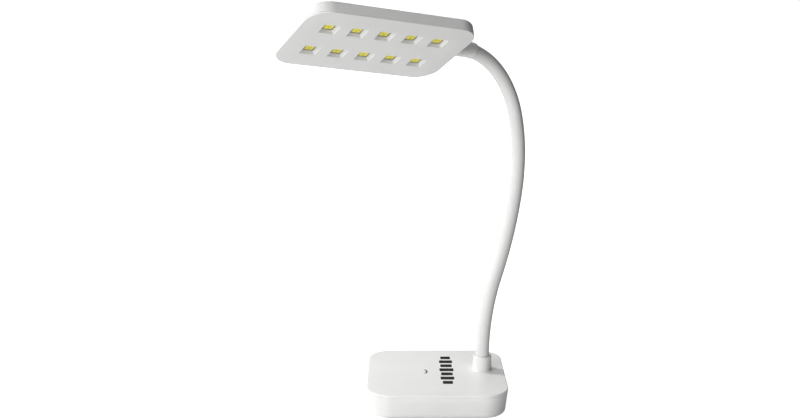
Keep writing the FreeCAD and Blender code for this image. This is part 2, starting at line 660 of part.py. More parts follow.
def make_head(place):
    """The head lies on its local XY plane with its face down, and +X runs towards the neck."""
    outline_less = "2 * sheet.face_step"
    inside = ("sheet.head_length - 2 * sheet.head_wall", "sheet.head_width - 2 * sheet.head_wall")

    housing = new_body("housing_body")
    outer = sketch_in(housing, "housing_outline", "sheet.face_band")
    draw_rounded_rectangle(outer, "o", "sheet.head_length", "sheet.head_width", "sheet.head_corner")
    pad(housing, "housing_block", outer, "sheet.head_thick - sheet.face_band")
    round_edge(housing, "housing_rounding", "sheet.head_rounding", lowest=False)
    hollow = sketch_in(housing, "housing_hollow_outline", "sheet.face_band")
    draw_rounded_rectangle(hollow, "i", *inside, "sheet.head_corner - sheet.head_wall")
    pocket(
        housing, "housing_hollow", hollow, "sheet.head_thick - sheet.head_roof - sheet.face_band", down=False
    )
    axis = Rotation(Vector(0, 1, 0), 90)
    end_x = size("head_length") / 2
    hump_at = (end_x - size("saddle_reach"), 0, size("neck_axis_high"))
    saddle = cylinder("saddle", "sheet.head_collar_across / 2", "sheet.saddle_reach", hump_at, axis)
    saddle_end = sphere("saddle_end", "sheet.head_collar_across / 2")
    saddle_end.Placement = Placement(Vector(*hump_at), Rotation())
    upper = block("saddle_upper", 40, 20, 10, (hump_at[0], 0, size("head_thick") - 1.0))
    hump = doc.addObject("Part::Common", "saddle_hump")
    hump.Base = fuse("saddle_round", [saddle, saddle_end])
    hump.Tool = upper
    tongue_way = cylinder("tongue_way", "sheet.tongue_across / 2 + 0.1", 16, hump_at, axis)
    keep("head_housing", cut("head_housing", fuse("housing_solid", [housing, hump]), [tongue_way]), place)

    face = new_body("face_body")
    plate = sketch_in(face, "face_outline")
    draw_rounded_rectangle(
        plate, "o", "sheet.head_length - " + outline_less, "sheet.head_width - " + outline_less,
        "sheet.head_corner - sheet.face_step",
    )
    pad(face, "face_plate", plate, "sheet.face_band")
    step = sketch_in(face, "face_step_outline", "sheet.face_band")
    draw_rounded_rectangle(
        step, "s", inside[0] + " - 2 * sheet.fit_gap", inside[1] + " - 2 * sheet.fit_gap",
        "sheet.head_corner - sheet.head_wall - sheet.fit_gap",
    )
    pad(face, "face_core", step, "sheet.well_depth - sheet.face_band")
    wells = []
    for k, (x, y) in enumerate(led_places(), start=1):
        mouth = doc.addObject("Part::Wedge", f"well_{k:02d}")
        wide, narrow = "sheet.well_mouth / 2", "sheet.well_floor / 2"
        bind(
            mouth, Ymin=0.0, Ymax="sheet.well_depth",
            Xmin="-" + wide, Xmax=wide, Zmin="-" + wide, Zmax=wide,
            X2min="-" + narrow, X2max=narrow, Z2min="-" + narrow, Z2max=narrow,
        )
        mouth.Placement = Placement(Vector(x, y, 0), Rotation(Vector(1, 0, 0), 90))
        wells.append(mouth)
    keep("head_face", cut("head_face", face, wells), place)

    board = new_body("led_board_body")
    board_z = "sheet.well_depth + sheet.led_high"
    outline = sketch_in(board, "led_board_outline", board_z)
    draw_rounded_rectangle(
        outline, "o", "sheet.head_length - 2 * sheet.led_board_margin",
        "sheet.head_width - 2 * sheet.led_board_margin", "sheet.head_corner - sheet.led_board_margin",
    )
    pad(board, "led_board_plate", outline, "sheet.led_board_thick")
    notch = block("board_notch", 14, 8, 5, (end_x - 6, 0, 2.5))
    keep("led_board", cut("led_board", board, [notch]), place)


def make_leds(place):
    """Ten square packages, each with a shallow round cup where its phosphor lies."""
    for k, (x, y) in enumerate(led_places(), start=1):
        label = f"led_{k:02d}"
        at = (x, y, size("well_depth"))
        package = block(label + "_package", "sheet.led_side", "sheet.led_side", "sheet.led_high", at)
        mouth = "sheet.led_cup_across / 2"
        cup = cone(label + "_cup", mouth, mouth + " - 2 * sheet.led_cup_depth", "sheet.led_cup_depth", at)
        keep(label, cut(label, package, [cup]), place)


def make_head_collar():
    """Elbow between the neck and the head, with a tube that goes into the head, and the lead in it."""
    elbow = bent_tube("elbow_tube", "sheet.elbow_length", "sheet.elbow_turn", "sheet.head_collar_across / 2")
    elbow_end = frames[8].inverse().multiply(frames[9])
    straight = cylinder("collar_straight_part", "sheet.head_collar_across / 2", "sheet.collar_straight")
    straight.Placement = elbow_end
    reach = "sheet.collar_straight + sheet.tongue_reach"
    tongue = cylinder("collar_tongue", "sheet.tongue_across / 2", reach)
    tongue.Placement = elbow_end
    way = cylinder("collar_lead_way", "sheet.ferrule_bore / 2", 16)
    way.Placement = elbow_end
    elbow_way = bent_tube("elbow_way", "sheet.elbow_length", "sheet.elbow_turn", "sheet.ferrule_bore / 2")
    socket = cylinder("collar_socket", "sheet.collar_bore / 2", "sheet.head_tail + 1.1", (0, 0, -1))
    solid = fuse("collar_solid", [elbow, straight, tongue])
    keep("head_collar", cut("head_collar", solid, [way, elbow_way, socket]), frames[8])

    first = bent_tube("head_lead_bend", "sheet.elbow_length", "sheet.elbow_turn", "sheet.lead_across / 2")
    second = cylinder("head_lead_run", "sheet.lead_across / 2", "sheet.collar_straight + 11.5")
    second.Placement = elbow_end
    below = cylinder("head_lead_foot", 5, "sheet.head_tail + 1.3", (0, 0, -1))
    keep("head_lead", cut("head_lead", fuse("head_lead_solid", [first, second]), [below]), frames[8])


def make_base_lead():
    """The lead from the neck's fitting, round a bend and under the control board."""
    bend = size("lead_bend")
    level = board_low - size("lead_across") / 2 - 0.05
    top = Vector(neck_x, neck_y, size("base_height") + size("collar_floor") + 0.5)
    bend_start = Vector(neck_x, neck_y, level + bend)
    bend_end = Vector(neck_x - bend, neck_y, level)
    turn = math.sqrt(0.5) * bend
    halfway = Vector(neck_x - bend + turn, neck_y, level + bend - turn)
    last = Vector(socket_x + 6, neck_y, level)
    edges = [
        Part.LineSegment(top, bend_start).toShape(),
        Part.Arc(bend_start, halfway, bend_end).toShape(),
        Part.LineSegment(bend_end, last).toShape(),
    ]
    ring = Part.Wire(Part.Circle(top, Vector(0, 0, 1), size("lead_across") / 2).toShape())
    lead = doc.addObject("Part::Feature", "base_lead")
    lead.Shape = Part.Wire(edges).makePipeShell([ring], True, False)
    keep("base_lead", lead)


def finish():
    """Checks every object and writes one file for each sub-part."""
    doc.recompute()
    failed = [o.Name for o in doc.Objects if "Invalid" in o.State or "Error" in o.State]
    assert not failed, f"failed objects: {failed}"
    os.makedirs("parts", exist_ok=True)
    for label, obj in nodes.items():
        shape = obj.Shape
        assert not shape.isNull() and shape.isValid() and shape.Volume > 0, f"{label} has no valid shape"
        assert len(label) < 60, label
        shape.exportStep(os.path.join("parts", label + ".step"))
        box = shape.BoundBox
        sides = ((box.XMin, box.XMax), (box.YMin, box.YMax), (box.ZMin, box.ZMax))
        spans = "  ".join(f"{low:7.2f} {high:7.2f}" for low, high in sides)
        print(f"{label:18s} {len(shape.Solids)} solid(s) {shape.Volume:10.1f} mm3  {spans}")
    print(len(nodes), "sub-parts")


frames = neck_frames()
to_head = Rotation(Vector(0, 0, -1), Vector(0, -1, 0), Vector(-1, 0, 0), "XYZ")
head_place = (
    frames[10]
    .multiply(Placement(Vector(), to_head))
    .multiply(Placement(Vector(), Rotation(Vector(1, 0, 0), -size("head_roll"))))
    .multiply(Placement(Vector(-size("head_length") / 2, 0, -size("neck_axis_high")), Rotation()))
)

make_lid()
make_tray()
make_pad()
make_weight()
make_control_board()
make_usb_socket()
make_touch_electrode()
make_lid_screws()
make_neck_mounting()
make_base_lead()
for neck_number in range(1, 9):
    make_neck_length(neck_number)
make_head_collar()
make_head(head_place)
make_leds(head_place)
finish()
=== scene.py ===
"""UV curing lamp on a gooseneck: the looks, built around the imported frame.

Everything is in metres in the row frame: +Z up, the front of the base towards -Y, the neck at the back.
The neck's line comes from the joints, the head's place and tilt from its LEDs, and the other places from
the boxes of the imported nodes.
"""
import json
import math

import bmesh
import bpy
from mathutils import Matrix, Vector


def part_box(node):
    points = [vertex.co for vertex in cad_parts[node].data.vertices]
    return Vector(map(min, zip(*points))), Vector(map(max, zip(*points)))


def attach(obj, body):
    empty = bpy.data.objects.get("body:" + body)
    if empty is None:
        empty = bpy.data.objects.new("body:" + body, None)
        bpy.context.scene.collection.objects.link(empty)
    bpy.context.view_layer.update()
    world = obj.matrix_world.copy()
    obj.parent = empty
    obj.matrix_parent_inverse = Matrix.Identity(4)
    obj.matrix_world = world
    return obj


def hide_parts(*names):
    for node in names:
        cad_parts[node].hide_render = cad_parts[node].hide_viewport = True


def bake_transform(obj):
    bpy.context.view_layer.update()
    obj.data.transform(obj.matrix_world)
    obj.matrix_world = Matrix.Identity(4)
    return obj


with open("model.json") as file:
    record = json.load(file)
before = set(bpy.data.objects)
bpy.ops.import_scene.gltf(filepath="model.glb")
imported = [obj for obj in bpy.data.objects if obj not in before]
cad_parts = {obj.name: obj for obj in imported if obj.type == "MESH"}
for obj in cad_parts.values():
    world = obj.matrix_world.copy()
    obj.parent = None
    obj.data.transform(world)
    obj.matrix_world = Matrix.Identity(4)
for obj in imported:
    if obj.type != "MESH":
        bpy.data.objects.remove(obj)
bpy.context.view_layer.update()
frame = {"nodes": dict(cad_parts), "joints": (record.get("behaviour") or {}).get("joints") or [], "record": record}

MM = 0.001
UP = Vector((0, 0, 1))

# Base
BASE_CORNER = 14.6 * MM
BASE_DRAFT = math.tan(math.radians(7))
LID_BAND = 1.6 * MM
TOP_EDGE = 0.5 * MM
SEAM = 0.12 * MM
SEAT_INSET = 3.5 * MM
RIM_GAP = 0.15 * MM
RIM_WALL = 1.2 * MM
RIM_HEIGHT = 2 * MM
TRAY_FLOOR = 2 * MM
TRAY_ROUNDING = 3 * MM
PAD_RECESS = 0.5 * MM
PAD_GAP = 0.15 * MM
PAD_CORNER = 9 * MM
PORT_GAP = 0.25 * MM
PORT_CHAMFER = 0.5 * MM
PORT_FLARE = 3 * MM
PORT_PAST_WALL = 2.5 * MM
FLOOR_RIM = 2 * MM
PAD_EDGE = 0.25 * MM
GROOVE_FIRST = 1.8 * MM
GROOVE_PITCH = 1.6 * MM
GROOVE_PROFILE = ((0, 0), (0.2, 0.3), (0.6, 0.3), (0.8, 0))

# Print on the lid, USB contacts
PRINT_SUNK = 0.004 * MM
PRINT_HIGH = 0.03 * MM
BARS_AT = (-3.2 * MM, 6.2 * MM, 0)
BAR_REACHES = (2.9, 3.9, 3.4, 4.1, 3.4, 3.9, 2.9)
BAR_HALF = 2.5 * MM
BAR_PITCH = 7.2 * MM
BAR_CORNER = 0.7 * MM
TOUCH_Y = -5.4 * MM
TOUCH_RADIUS = 4.6 * MM
TOUCH_HALF_WIDTH = 0.45 * MM
TOUCH_REACH = 44
CONTACTS = 6
CONTACT_PITCH = 0.95 * MM
CONTACT_RAISE = 0.36 * MM
CONTACT_BACK = 3.6 * MM
CONTACT_HALF = (0.16 * MM, 1.9 * MM)
CONTACT_CORNER = 0.06 * MM
CONTACT_THICK = 0.02 * MM

# Neck and collars
SLEEVE_RADIUS = 4 * MM
SLEEVE_BORE = 3.1 * MM
COLLAR_BORE = 4.15 * MM
COLLAR_FLOOR = 1 * MM
COLLAR_TAPER = 0.25 * MM
COLLAR_RIM = 0.4 * MM
COLLAR_MOUTH = 0.3 * MM
COLLAR_FOOT_WAY = 3.05 * MM
HEAD_COLLAR_RIM = 0.5 * MM
HEAD_COLLAR_SUNK = 0.8 * MM
TAIL_GAP = 0.2 * MM
HEAD_COLLAR_RADIUS = 4.6 * MM
LEAD_WAY = 1.6 * MM
TONGUE_RADIUS = 2.5 * MM
TONGUE_REACH = 6.5 * MM
HEAD_TAIL = 3 * MM

# Head
HEAD_THICK = 6.9 * MM
HEAD_CORNER = 12.3 * MM
HEAD_ROUNDING = 1.2 * MM
HEAD_WALL = 1.6 * MM
HEAD_ROOF = 1.2 * MM
FACE_BAND = 0.9 * MM
FACE_STEP = 0.15 * MM
WELL_MOUTH = 4.6 * MM
WELL_FLOOR = 3 * MM
WELL_DEPTH = 1.7 * MM
WELL_LIP = 0.3 * MM
WELL_CORNERS = (0.9 * MM, 0.7 * MM, 0.45 * MM)
FACE_EDGE = 0.25 * MM
HUMP_FILLET = 1.0 * MM
HUMP_SUNK = 0.8 * MM
HUMP_SLIVER = 0.02 * MM
SADDLE_REACH = 12 * MM
LED_HALF = 2.5 * MM
LED_HIGH = 1.6 * MM
LED_CORNER = 0.25 * MM
LED_CHAMFER = 0.08 * MM
GEL_HALF = 2.4 * MM
GEL_DOME = 0.16 * MM
GEL_CORNER = 0.78 * MM
CHIP_OUT = 0.85 * MM
CHIP_HALF = 0.32 * MM

# Light: the floor's tone on the left and on the right and where it changes, the light that it gives
# and how bright it looks to the camera, the surroundings' brightness by direction from the left (-1)
# to the right (1), and the lights as place, aim, side in metres and watts
FLOOR_HALF = 14
FLOOR_TONES = (0.72, 0.12)
FLOOR_FALL = (0.04, 0.38)
FLOOR_LIGHT = 0.06
FLOOR_GLOW = 0.96
WORLD_LIGHT = ((-1, 0), (-0.5, 0.7), (-0.2, 1.4), (0.05, 0.6), (0.2, 0), (1, 0))
KEY, BACK, BOUNCE = 92, 86, 0.07
LAMPS = {
    "key": ((3.0, -2.7, 1.3), (0, 0, 0.1), 1.8, KEY),
    "back": ((-1.5, -2.6, 2.5), (0, 0, 0.1), 1.05, BACK),
    "bounce": ((0.17, -0.05, 0.01), (0.17, -0.05, 1), 0.24, BOUNCE),
}

# Camera: place in metres, degrees below level, focal length and sensor width in mm
CAMERA_AT = (0.6664, -0.0211, 0.2489)
CAMERA_DOWN = 11.63
CAMERA_LENS = 53.82
CAMERA_SENSOR = 36


# Mesh helpers ------------------------------------------------------------------------------------------


def link(name, mesh):
    obj = bpy.data.objects.new(name, mesh)
    bpy.context.scene.collection.objects.link(obj)
    return obj


def shade(mesh, angle=35):
    """Smooth shading with sharp edges where the faces meet at more than this angle."""
    mesh.shade_smooth()
    mesh.set_sharp_from_angle(angle=math.radians(angle))


def outward(mesh):
    bm = bmesh.new()
    bm.from_mesh(mesh)
    bmesh.ops.recalc_face_normals(bm, faces=bm.faces)
    bm.to_mesh(mesh)
    bm.free()


def stack(name, rings, wrap=False, angle=35):
    """A closed solid from rings of equal length: capped at both ends, or with wrap joined end to start."""
    count = len(rings[0])
    vertices = [tuple(point) for ring in rings for point in ring]
    faces = []
    for low in range(len(rings) if wrap else len(rings) - 1):
        high = (low + 1) % len(rings)
        for side in range(count):
            after = (side + 1) % count
            faces.append((low * count + side, low * count + after, high * count + after, high * count + side))
    if not wrap:
        last = (len(rings) - 1) * count
        faces.append(tuple(range(count)))
        faces.append(tuple(range(last, last + count)))
    mesh = bpy.data.meshes.new(name)
    mesh.from_pydata(vertices, [], faces)
    outward(mesh)
    shade(mesh, angle)
    return link(name, mesh)


def rounded_loop(half_x, half_y, corner, z, steps=14):
    """A rounded rectangle about the Z axis, counter-clockwise from above."""
    points = []
    for quarter, (sx, sy) in enumerate(((1, 1), (-1, 1), (-1, -1), (1, -1))):
        for step in range(steps + 1):
            turn = math.pi / 2 * (quarter + step / steps)
            x = sx * (half_x - corner) + corner * math.cos(turn)
            y = sy * (half_y - corner) + corner * math.sin(turn)
            points.append(Vector((x, y, z)))
    return points


def circle_loop(middle, direction, side, radius, steps=64):
    """A circle about middle, across direction, that starts at side."""
    other = direction.cross(side)
    turns = [math.tau * step / steps for step in range(steps)]
    return [middle + radius * (math.cos(turn) * side + math.sin(turn) * other) for turn in turns]


def quarter(steps, first=0.0, last=90.0):
    """Cosine and sine at even steps from first to last, in degrees."""
    turns = [math.radians(first + (last - first) * step / steps) for step in range(steps + 1)]
    return [(math.cos(turn), math.sin(turn)) for turn in turns]


def cut_out(obj, cutters, angle=35):
    """Takes the cutters out of obj and removes them."""
    for cutter in cutters:
        modifier = obj.modifiers.new(cutter.name, "BOOLEAN")
        modifier.object = cutter
        modifier.operation = "DIFFERENCE"
        modifier.solver = "EXACT"
    graph = bpy.context.evaluated_depsgraph_get()
    mesh = bpy.data.meshes.new_from_object(obj.evaluated_get(graph))
    obj.modifiers.clear()
    obj.data = mesh
    for cutter in cutters:
        bpy.data.objects.remove(cutter)
    shade(mesh, angle)


def place(obj, matrix):
    obj.data.transform(matrix)
    return obj


def carry(obj, body, slot, material, *nodes):
    """Rides on a body, stands for the CAD nodes, and takes the given material; the slot is not used."""
    obj.data.materials.clear()
    obj.data.materials.append(material)
    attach(obj, body)
    if nodes:
        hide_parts(*nodes)
    return obj


# Materials ---------------------------------------------------------------------------------------------


def principled(name, colour, roughness, metallic=0.0, **sockets):
    made = bpy.data.materials.new(name)
    made.use_nodes = True
    tree = made.node_tree
    shader = tree.nodes["Principled BSDF"]
    shader.inputs["Base Color"].default_value = (*colour, 1)
    shader.inputs["Roughness"].default_value = roughness
    shader.inputs["Metallic"].default_value = metallic
    for label, value in sockets.items():
        shader.inputs[label.replace("_", " ")].default_value = value
    return made, tree, shader


def noise(tree, scale, detail=3.0, stretch=(1, 1, 1)):
    """Noise fixed to the piece, with scale in features per metre."""
    where = tree.nodes.new("ShaderNodeTexCoord")
    spread = tree.nodes.new("ShaderNodeMapping")
    spread.inputs["Scale"].default_value = stretch
    made = tree.nodes.new("ShaderNodeTexNoise")
    made.inputs["Scale"].default_value = scale
    made.inputs["Detail"].default_value = detail
    tree.links.new(where.outputs["Object"], spread.inputs["Vector"])
    tree.links.new(spread.outputs["Vector"], made.inputs["Vector"])
    return made.outputs["Fac"]


def remap(tree, value, low, high):
    """Takes the middle of a noise to the range from low to high."""
    node = tree.nodes.new("ShaderNodeMapRange")
    node.inputs["From Min"].default_value = 0.3
    node.inputs["From Max"].default_value = 0.7
    node.inputs["To Min"].default_value = low
    node.inputs["To Max"].default_value = high
    tree.links.new(value, node.inputs["Value"])
    return node.outputs["Result"]


def tint(tree, factor, first, second):
    node = tree.nodes.new("ShaderNodeMix")
    node.data_type = "RGBA"
    node.inputs[6].default_value = (*first, 1)
    node.inputs[7].default_value = (*second, 1)
    tree.links.new(factor, node.inputs["Factor"])
    return node.outputs[2]


def bump(tree, shader, height, distance, strength=1.0, under=None):
    node = tree.nodes.new("ShaderNodeBump")
    node.inputs["Distance"].default_value = distance
    node.inputs["Strength"].default_value = strength
    tree.links.new(height, node.inputs["Height"])
    if under is not None:
        tree.links.new(under, node.inputs["Normal"])
    tree.links.new(node.outputs["Normal"], shader.inputs["Normal"])
    return node.outputs["Normal"]


def add(tree, first, second):
    """Sum of two values, or the second where there is no first."""
    if first is None:
        return second
    node = tree.nodes.new("ShaderNodeMath")
    tree.links.new(first, node.inputs[0])
    tree.links.new(second, node.inputs[1])
    return node.outputs[0]


def surface(name, colour, second, roughness, grain, depth, metallic=0.0, stretch=(1, 1, 1), **sockets):
    """A surface with cloudy colour, uneven gloss and a fine grain. grain is in features per metre."""
    made, tree, shader = principled(name, colour, roughness, metallic, **sockets)
    clouds = noise(tree, 45, 4.0)
    tree.links.new(tint(tree, remap(tree, clouds, 0, 1), colour, second), shader.inputs["Base Color"])
    wipes = noise(tree, 130, 3.0, (1, 2.5, 1))
    uneven = remap(tree, wipes, roughness * 0.85, roughness * 1.2)
    tree.links.new(uneven, shader.inputs["Roughness"])
    fine = noise(tree, grain, 2.0, stretch)
    bump(tree, shader, fine, depth)
    return made


def plastic(name, colour, second, roughness=0.34, grain=5200, depth=0.012 * MM):
    """Moulded plastic with a faint spark-eroded grain and a long swell from the mould."""
    return surface(name, colour, second, roughness, grain, depth, IOR=1.5)


WHITE = (0.83, 0.83, 0.82)
WHITE_SHADE = (0.80, 0.80, 0.79)

looks = {
    "base_white": plastic("base_plastic", WHITE, WHITE_SHADE),
    "head_white": plastic("head_plastic", WHITE, WHITE_SHADE, roughness=0.38),
    "collar_white": plastic("collar_plastic", (0.80, 0.80, 0.79), (0.77, 0.77, 0.76), roughness=0.3),
    "neck_sleeve": surface(
        "sleeve_pvc", (0.72, 0.72, 0.71), (0.69, 0.69, 0.68), 0.48, 3000, 0.01 * MM, IOR=1.4
    ),
    "pad_rubber": surface("pad_rubber", (0.10, 0.10, 0.10), (0.07, 0.07, 0.07), 0.75, 2200, 0.05 * MM),
    "weight_steel": surface(
        "weight_steel", (0.46, 0.46, 0.47), (0.38, 0.38, 0.40), 0.42, 900, 0.02 * MM, 1.0, (1, 9, 1)
    ),
    "board_green": surface("board_green", (0.02, 0.16, 0.05), (0.015, 0.12, 0.04), 0.3, 1500, 0.02 * MM),
    "screw_steel": surface("screw_steel", (0.62, 0.62, 0.64), (0.52, 0.52, 0.54), 0.3, 1800, 0.01 * MM, 1.0),
    "socket_chrome": surface(
        "socket_shell", (0.72, 0.72, 0.73), (0.64, 0.64, 0.66), 0.2, 2600, 0.006 * MM, 1.0
    ),
    "electrode_copper": surface(
        "electrode_copper", (0.80, 0.42, 0.28), (0.70, 0.34, 0.22), 0.3, 1500, 0.01 * MM, 1.0
    ),
    "fitting_brass": surface(
        "fitting_brass", (0.76, 0.58, 0.28), (0.66, 0.48, 0.22), 0.3, 1800, 0.01 * MM, 1.0
    ),
    "coil_steel": surface(
        "coil_steel", (0.55, 0.55, 0.57), (0.45, 0.45, 0.47), 0.32, 900, 0.08 * MM, 1.0, (1, 1, 3)
    ),
    "lead_sheath": surface("lead_sheath", (0.03, 0.03, 0.03), (0.02, 0.02, 0.02), 0.5, 2600, 0.02 * MM),
    "led_board_aluminium": surface(
        "led_board", (0.80, 0.80, 0.78), (0.74, 0.74, 0.72), 0.32, 1500, 0.02 * MM
    ),
    "led_yellow": surface(
        "led_phosphor", (0.92, 0.86, 0.012), (0.84, 0.74, 0.008), 0.3, 5200, 0.05 * MM, Coat_Weight=0.5
    ),
}
frame_ivory = plastic("led_frame", (0.62, 0.56, 0.34), (0.52, 0.46, 0.26), roughness=0.42)
ink_black = surface(
    "print_ink", (0.008, 0.008, 0.008), (0.014, 0.014, 0.014), 0.6, 4000, 0.01 * MM, Specular_IOR_Level=0.15
)
contact_gold = surface("contact_gold", (0.85, 0.62, 0.25), (0.75, 0.52, 0.2), 0.25, 3000, 0.005 * MM, 1.0)
chip_amber = surface("led_chip", (0.70, 0.50, 0.01), (0.60, 0.40, 0.01), 0.25, 3000, 0.01 * MM)


# Base --------------------------------------------------------------------------------------------------

lid_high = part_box("base_lid")[1]
tray_low, tray_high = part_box("base_tray")
pad_low, pad_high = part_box("rubber_pad")
BASE_HALF = lid_high.x
BASE_TOP = lid_high.z


def base_level(inset, z):
    """The outline of the base, moved in by inset."""
    return rounded_loop(BASE_HALF - inset, BASE_HALF - inset, BASE_CORNER - inset, z)


def make_lid():
    rows = [base_level(TOP_EDGE * (1 - c), BASE_TOP - TOP_EDGE * (1 - s)) for c, s in quarter(8, 90, 0)]
    seam_z = BASE_TOP - LID_BAND
    wall = (LID_BAND - SEAM) * BASE_DRAFT
    rows.append(base_level(wall, seam_z + SEAM))
    rows.append(base_level(wall + SEAM, seam_z))
    outer = SEAT_INSET + RIM_GAP
    inner = outer + RIM_WALL
    rows.append(base_level(outer, seam_z))
    rows.append(base_level(outer, seam_z - RIM_HEIGHT))
    rows.append(base_level(inner, seam_z - RIM_HEIGHT))
    rows.append(base_level(inner, seam_z))
    return carry(stack("lid_shell", rows), "base", "base_white", looks["base_white"], "base_lid")


def make_tray():
    top, floor = tray_high.z, tray_low.z + TRAY_FLOOR
    wall_at_top = LID_BAND * BASE_DRAFT
    rows = [base_level(SEAT_INSET + FLOOR_RIM, floor)]
    rows += [base_level(SEAT_INSET + MM * (1 - c), floor + MM * (1 - s)) for c, s in quarter(4, 90, 0)]
    rows.append(base_level(SEAT_INSET, top))
    rows.append(base_level(wall_at_top + 2 * SEAM, top))
    rows.append(base_level(wall_at_top + SEAM * BASE_DRAFT, top - 2 * SEAM))
    bend_top = tray_low.z + TRAY_ROUNDING
    wall_at_bend = wall_at_top + (top - bend_top) * BASE_DRAFT
    for c, s in quarter(10):
        rows.append(base_level(wall_at_bend + TRAY_ROUNDING * (1 - c), bend_top - TRAY_ROUNDING * s))
    recess = BASE_HALF - (pad_high.x + PAD_GAP)
    recess_corner = PAD_CORNER + PAD_GAP
    half = BASE_HALF - recess
    for z in (tray_low.z, tray_low.z + PAD_RECESS):
        rows.append(rounded_loop(half, half, recess_corner, z))
    tray = stack("tray_shell", rows)

    socket_low, socket_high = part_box("usb_c_socket")
    middle = (socket_low + socket_high) / 2
    half_x = (socket_high.x - socket_low.x) / 2 + PORT_GAP
    half_z = (socket_high.z - socket_low.z) / 2 + PORT_GAP
    wall_y = BASE_HALF - (BASE_TOP - middle.z) * BASE_DRAFT
    levels = (
        (0, middle.y),
        (0, wall_y - PORT_CHAMFER),
        (PORT_CHAMFER, wall_y),
        (PORT_FLARE, wall_y + PORT_PAST_WALL),
    )
    rows = [rounded_loop(half_x + more, half_z + more, half_z - 0.1 * MM + more, -y) for more, y in levels]
    cutter = stack("port_cutter", rows)
    stand = Matrix.Translation((middle.x, 0, middle.z)) @ Matrix.Rotation(math.radians(90), 4, "X")
    cut_out(tray, [place(cutter, stand)])
    return carry(tray, "base", "base_white", looks["base_white"], "base_tray")


def make_pad():
    """Rubber sheet with rounded edges and three shallow grooves round its underside."""
    half, edge = pad_high.x, PAD_EDGE
    low, high = pad_low.z, pad_high.z

    def level(inset, z):
        return rounded_loop(half - inset, half - inset, PAD_CORNER - inset, z)

    rows = [level(0, high)]
    rows += [level(edge * (1 - c), low + edge * (1 - s)) for c, s in quarter(4)]
    for groove in range(3):
        start = GROOVE_FIRST + GROOVE_PITCH * groove
        for inset, depth in GROOVE_PROFILE:
            rows.append(level(start + inset * MM, low + depth * MM))
    return carry(stack("pad_sheet", rows, angle=50), "base", "pad_rubber", looks["pad_rubber"], "rubber_pad")


def make_marks():
    """Generic print on the lid, a row of plain bars, and a short dark stroke along the right-hand arc of a circle
    round the touch key.
    """
    z = BASE_TOP - PRINT_SUNK
    levels = (z, z + PRINT_HIGH)
    bars = []
    middle = Vector(BARS_AT)
    for k, reach in enumerate(BAR_REACHES):
        along = (k - (len(BAR_REACHES) - 1) / 2) * BAR_PITCH
        rows = [rounded_loop(BAR_HALF, reach * MM, BAR_CORNER, level, 4) for level in levels]
        bars.append(place(stack(f"bar_{k}", rows), Matrix.Translation(middle + Vector((along, 0, 0)))))
    carry(join("lid_print", bars), "base", "base_white", ink_black)

    # The stroke is a dark arc along the right-hand side of a 4.6 mm circle round the touch key, in the print's
    # dark finish.
    stroke = []
    for side, radius in ((1, TOUCH_RADIUS - TOUCH_HALF_WIDTH), (-1, TOUCH_RADIUS + TOUCH_HALF_WIDTH)):
        for step in range(13):
            turn = math.radians(side * (TOUCH_REACH - 2 * TOUCH_REACH * step / 12))
            y = TOUCH_Y - TOUCH_RADIUS + radius * math.cos(turn)
            stroke.append(Vector((radius * math.sin(turn), y, 0)))
    rows = [[point + UP * level for point in stroke] for level in levels]
    carry(stack("touch_mark", rows), "base", "base_white", ink_black)


def join(name, objs):
    """One piece from several, with their meshes as separate shells."""
    bm = bmesh.new()
    for obj in objs:
        bm.from_mesh(obj.data)
        bpy.data.objects.remove(obj)
    mesh = bpy.data.meshes.new(name)
    bm.to_mesh(mesh)
    bm.free()
    shade(mesh)
    return link(name, mesh)


def make_base_collar():
    """Slightly conical collar, hollow for the sleeve, with a soft foot and a rounded rim."""
    low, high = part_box("base_collar")
    middle = (low + high) / 2
    foot_radius = (high.x - low.x) / 2
    top_radius = foot_radius - COLLAR_TAPER
    rim, mouth = COLLAR_RIM, COLLAR_MOUTH

    def level(radius, z):
        return circle_loop(Vector((middle.x, middle.y, z)), UP, Vector((1, 0, 0)), radius)

    taper = COLLAR_TAPER
    rows = [level(foot_radius + taper * (1 - s), low.z + taper * (1 - c)) for c, s in quarter(5)]
    rows += [level(top_radius - rim * (1 - c), high.z - rim * (1 - s)) for c, s in quarter(8)]
    rows += [level(COLLAR_BORE + mouth * (1 - s), high.z - mouth * (1 - c)) for c, s in quarter(5)]
    bore_floor = low.z + COLLAR_FLOOR
    rows.append(level(COLLAR_BORE, bore_floor))
    rows += [level(COLLAR_FOOT_WAY, z) for z in (bore_floor, low.z)]
    return carry(
        stack("neck_collar", rows, wrap=True), "base", "collar_white", looks["collar_white"], "base_collar"
    )


def make_contacts():
    """Gold contact strips on the tongue of the USB socket."""
    low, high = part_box("usb_c_socket")
    middle = (low + high) / 2
    strips = []
    for side in (-1, 1):
        for k in range(CONTACTS):
            x = middle.x + (k - (CONTACTS - 1) / 2) * CONTACT_PITCH
            z = middle.z + side * CONTACT_RAISE
            levels = (-CONTACT_THICK, CONTACT_THICK)
            rows = [rounded_loop(*CONTACT_HALF, CONTACT_CORNER, level, 2) for level in levels]
            strip = stack(f"strip_{side}_{k}", rows)
            strips.append(place(strip, Matrix.Translation((x, high.y - CONTACT_BACK, z))))
    return carry(join("usb_contacts", strips), "base", "socket_chrome", contact_gold)


# Neck --------------------------------------------------------------------------------------------------

pivots = [Vector(joint["pos_m"]) for joint in frame["joints"]]
bend_side = Vector(frame["joints"][1]["axis"]).normalized()
LENGTHS = len(pivots) - 1


def neck_tangents():
    """Direction of the neck at each pivot: each length is an arc, and the first one starts straight up."""
    tangents = [UP.copy()]
    for start, end in zip(pivots, pivots[1:]):
        chord = (end - start).normalized()
        before = tangents[-1]
        tangents.append(2 * before.dot(chord) * chord - before)
    return tangents


tangents = neck_tangents()


